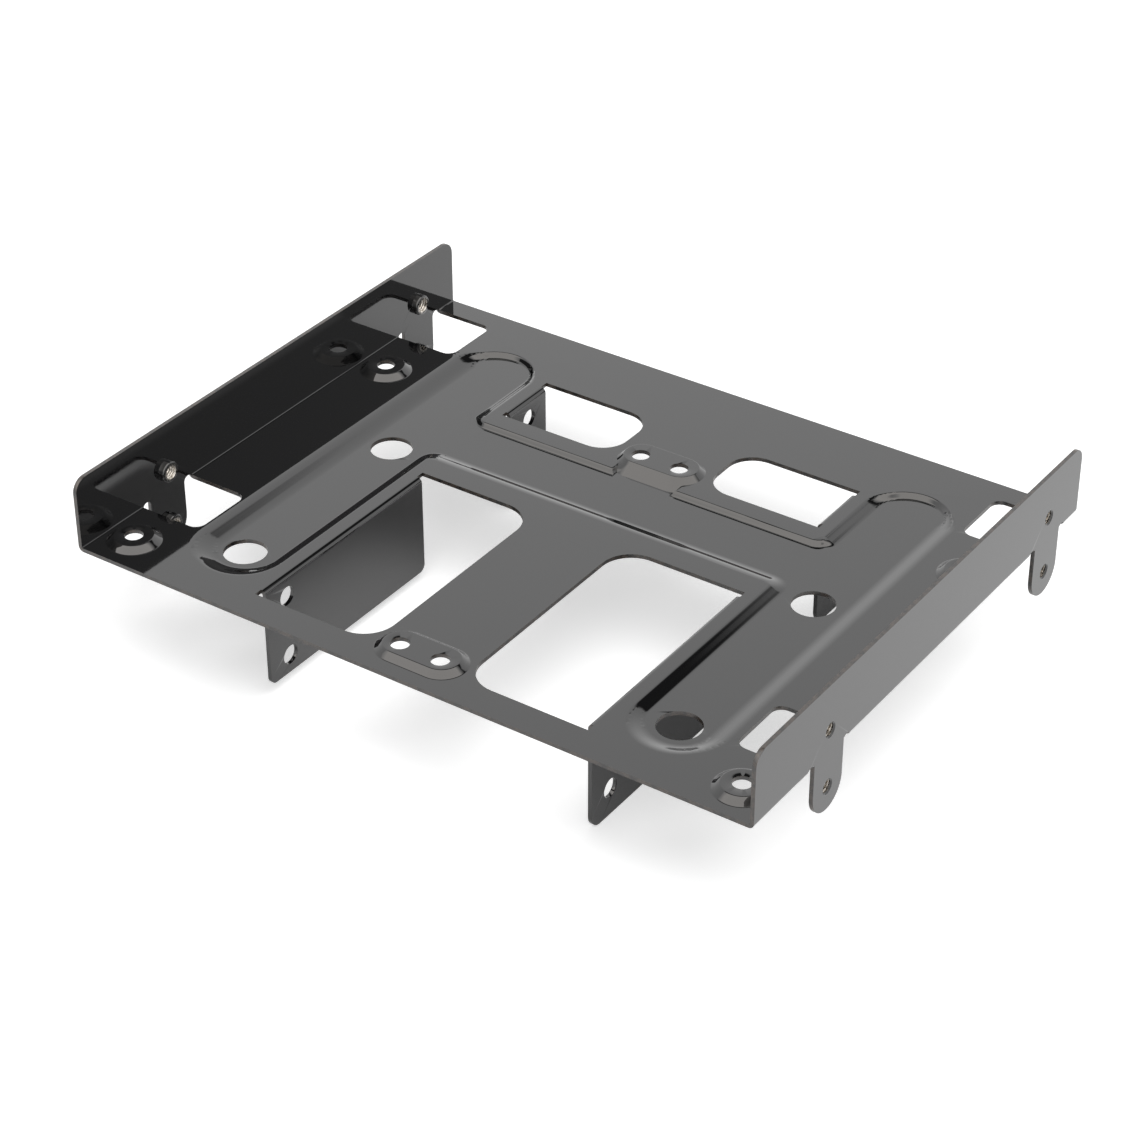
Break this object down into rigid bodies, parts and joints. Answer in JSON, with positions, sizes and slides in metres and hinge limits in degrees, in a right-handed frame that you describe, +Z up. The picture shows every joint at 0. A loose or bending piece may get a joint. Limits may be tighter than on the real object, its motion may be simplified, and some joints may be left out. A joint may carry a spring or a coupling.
{
  "type": "drive bay adapter bracket",
  "caption": "Folded sheet-metal tray that adapts a wide drive bay to smaller drives, with side flanges, pressed recess, raised bosses, windows and down-turned flaps.",
  "frame": {"origin": "under the middle of the bracket, level with the lowest flap edges that it stands on", "axes": "+X to the right across the bay's width, +Y to the rear, +Z up, the way the side flanges point"},
  "size_m": [0.146, 0.1152, 0.0371],
  "materials": {
    "black_enamel": "thin, very glossy black enamel on steel sheet, with near-mirror reflections"
  },
  "bodies": {
    "root": {"bracket": "black_enamel"}
  },
  "joints": []
}
